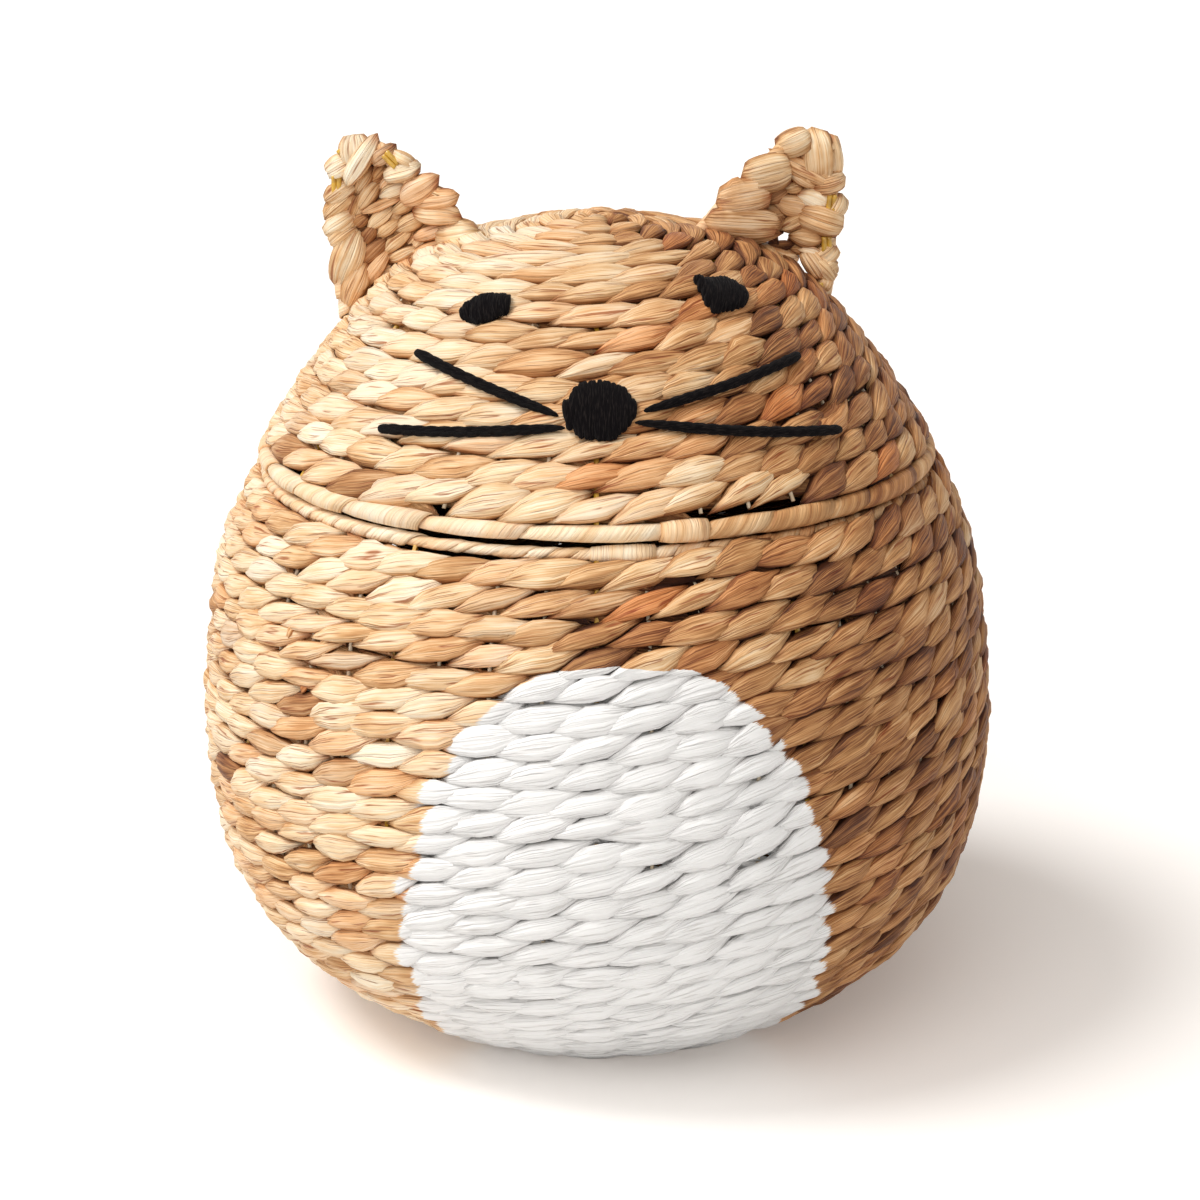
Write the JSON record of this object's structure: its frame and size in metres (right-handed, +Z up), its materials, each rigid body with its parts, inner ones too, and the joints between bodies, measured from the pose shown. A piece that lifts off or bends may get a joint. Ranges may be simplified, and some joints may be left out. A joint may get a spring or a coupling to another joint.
{
  "type": "water hyacinth basket",
  "caption": "Round storage basket twined from water hyacinth, with a lift-off domed lid that has two woven ears and a stitched cat face in black yarn.",
  "frame": {"origin": "middle of the flat base, on the floor", "axes": "+Z up, and -Y out of the face on the lid"},
  "size_m": [0.392, 0.392, 0.4349],
  "materials": {
    "body_strands": "dried plant strands, dull straw to tan",
    "lid_strands": "dried plant strands, dull pale straw",
    "hoop_wrap": "split strands wound tight, slight sheen",
    "frame_wire": "yellow lacquered iron wire",
    "black_yarn": "soft wool yarn, very dull"
  },
  "bodies": {
    "basket": {"body_weave": "body_strands", "base_weave": "body_strands", "base_ring_wire": "frame_wire", "body_stake_01": "frame_wire", "body_stake_02": "frame_wire", "body_stake_03": "frame_wire", "body_stake_04": "frame_wire", "body_stake_05": "frame_wire", "body_stake_06": "frame_wire", "body_stake_07": "frame_wire", "body_stake_08": "frame_wire", "body_stake_09": "frame_wire", "body_stake_10": "frame_wire", "body_stake_11": "frame_wire", "body_stake_12": "frame_wire", "rim_hoop_wire": "frame_wire", "rim_hoop_wrap": "hoop_wrap"},
    "lid": {"lid_weave": "lid_strands", "crown_weave": "lid_strands", "crown_ring_wire": "frame_wire", "lid_stake_01": "frame_wire", "lid_stake_02": "frame_wire", "lid_stake_03": "frame_wire", "lid_stake_04": "frame_wire", "lid_stake_05": "frame_wire", "lid_stake_06": "frame_wire", "lid_hoop_wire": "frame_wire", "lid_hoop_wrap": "hoop_wrap", "left_ear_wire": "frame_wire", "left_ear_border": "lid_strands", "left_ear_weave": "lid_strands", "right_ear_wire": "frame_wire", "right_ear_border": "lid_strands", "right_ear_weave": "lid_strands", "left_eye": "black_yarn", "right_eye": "black_yarn", "nose": "black_yarn", "left_upper_whisker": "black_yarn", "left_lower_whisker": "black_yarn", "right_upper_whisker": "black_yarn", "right_lower_whisker": "black_yarn"}
  },
  "joints": [
    {"name": "lid_lift", "type": "slide", "parent": "basket", "child": "lid", "axis": [0, 0, 1], "range_m": [0, 0.2]}
  ]
}
